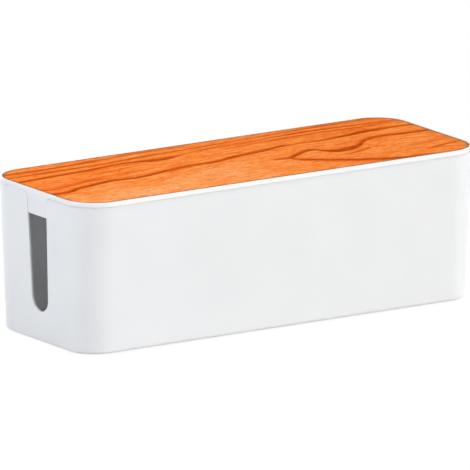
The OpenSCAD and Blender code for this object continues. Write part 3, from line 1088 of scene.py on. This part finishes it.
def pale_floor():
    """Painted floor: it looks white, keeps the object's soft shadow and is clear from below."""
    material, tree, place = new_material("painted_floor")
    speck = noise(tree, place, 400 * MM, 1)
    paint = mixed(tree, speck, linear("#C9CACB"), linear("#C4C5C6"))
    bounce = add(tree, "ShaderNodeBsdfDiffuse", {"Color": paint})
    shadow = add(tree, "ShaderNodeBsdfDiffuse", {"Color": (0.1, 0.1, 0.1, 1)})
    glow = add(tree, "ShaderNodeEmission", {"Color": WHITE, "Strength": 0.92})
    seen = add(tree, "ShaderNodeAddShader", {0: shadow.outputs[0], 1: glow.outputs[0]})
    lit = add(tree, "ShaderNodeMixShader", {0: seen_by_eye(tree), 1: bounce.outputs[0], 2: seen.outputs[0]})
    clear = add(tree, "ShaderNodeBsdfTransparent")
    below = add(tree, "ShaderNodeNewGeometry").outputs["Backfacing"]
    whole = add(tree, "ShaderNodeMixShader", {0: below, 1: lit.outputs[0], 2: clear.outputs[0]})
    add(tree, "ShaderNodeOutputMaterial", {"Surface": whole.outputs[0]})
    return material


class CABLE_BOX_OT_stage(bpy.types.Operator):
    """Sets up the camera, the soft lamps, the pale floor and the white surroundings"""

    bl_idname = "cable_box.stage"
    bl_label = "Stage"

    def execute(self, context):
        stage = context.scene.cable_box.stage
        self.add_camera(context, stage)
        self.add_floor(stage)
        self.add_surroundings(context, stage)
        self.add_lamps(stage)
        context.scene.view_settings.view_transform = "Standard"
        return {"FINISHED"}

    def add_camera(self, context, stage):
        """Puts the camera on its line of sight, with the roll that it is held at."""
        camera = new_object("camera", bpy.data.cameras.new("camera"))
        camera.data.lens = stage.lens
        camera.data.sensor_width = 36
        camera.data.clip_start = 0.1
        camera.data.clip_end = 100
        back = Vector((
            math.sin(stage.azimuth) * math.cos(stage.elevation),
            -math.cos(stage.azimuth) * math.cos(stage.elevation),
            math.sin(stage.elevation)))
        camera.location = Vector(stage.aim) + back * stage.distance
        camera.rotation_mode = "QUATERNION"
        camera.rotation_quaternion = back.to_track_quat("Z", "Y") @ Quaternion((0, 0, 1), stage.roll)
        context.scene.camera = camera

    def add_floor(self, stage):
        """Lays a square floor under the feet."""
        half = stage.floor / 2
        bm = bmesh.new()
        bmesh.ops.create_grid(bm, x_segments=8, y_segments=8, size=half)
        mesh = bpy.data.meshes.new("floor")
        bm.to_mesh(mesh)
        bm.free()
        mesh.materials.append(pale_floor())
        new_object("floor", mesh)

    def add_surroundings(self, context, stage):
        """White to the eye, and an even soft light on the object."""
        world = bpy.data.worlds.new("white_surroundings")
        world.use_nodes = True
        tree = world.node_tree
        tree.nodes.clear()
        light = add(tree, "ShaderNodeBackground", {"Color": WHITE, "Strength": stage.ambient})
        white = add(tree, "ShaderNodeBackground", {"Color": WHITE, "Strength": 1.0})
        both = add(tree, "ShaderNodeMixShader", {
            0: seen_by_eye(tree), 1: light.outputs[0], 2: white.outputs[0]})
        add(tree, "ShaderNodeOutputWorld", {"Surface": both.outputs[0]})
        context.scene.world = world

    def add_lamps(self, stage):
        """Soft boxes in front, at the left, above and behind."""
        for name, (place, width, height, power, daylight) in LAMPS.items():
            data = bpy.data.lights.new(name, "AREA")
            data.shape = "RECTANGLE"
            data.size = width
            data.size_y = height
            data.energy = power
            data.color = stage.daylight if daylight else WHITE[:3]
            lamp = new_object(name + "_lamp", data)
            lamp.location = place
            lamp.rotation_mode = "QUATERNION"
            lamp.rotation_quaternion = (Vector(place) - LAMP_AIM).to_track_quat("Z", "Y")


class CABLE_BOX_PT_pieces(bpy.types.Panel):
    """Lists the settings and the operators that build the pieces"""

    bl_label = "Cable Box"
    bl_idname = "CABLE_BOX_PT_pieces"
    bl_space_type = "VIEW_3D"
    bl_region_type = "UI"
    bl_category = "Cable Box"

    def draw(self, context):
        settings = context.scene.cable_box
        for group, operator in (
            (settings.stage, CABLE_BOX_OT_stage), (settings.tub, CABLE_BOX_OT_tub),
            (settings.lid, CABLE_BOX_OT_lid), (settings.panel, CABLE_BOX_OT_panel),
            (None, CABLE_BOX_OT_adhesive), (settings.foot, CABLE_BOX_OT_feet),
        ):
            box = self.layout.box()
            box.operator(operator.bl_idname)
            for name in type(group).__annotations__ if group else ():
                box.prop(group, name)


OPERATORS = (
    CABLE_BOX_OT_stage,
    CABLE_BOX_OT_tub,
    CABLE_BOX_OT_lid,
    CABLE_BOX_OT_panel,
    CABLE_BOX_OT_adhesive,
    CABLE_BOX_OT_feet,
)
CLASSES = (
    TubSettings,
    LidSettings,
    PanelSettings,
    FootSettings,
    StageSettings,
    BoxSettings,
    *OPERATORS,
    CABLE_BOX_PT_pieces,
)


def register():
    """Registers the classes and the scene's settings."""
    for kind in CLASSES:
        bpy.utils.register_class(kind)
    bpy.types.Scene.cable_box = PointerProperty(
        name="Cable box", description="Settings of the cable box", type=BoxSettings)


def unregister():
    """Removes the scene's settings and the classes."""
    del bpy.types.Scene.cable_box
    for kind in reversed(CLASSES):
        bpy.utils.unregister_class(kind)


def main():
    """Builds every piece."""
    register()
    bpy.ops.cable_box.stage()
    bpy.ops.cable_box.tub()
    bpy.ops.cable_box.lid()
    bpy.ops.cable_box.panel()
    bpy.ops.cable_box.adhesive()
    bpy.ops.cable_box.feet()


if __name__ == "__main__":
    main()
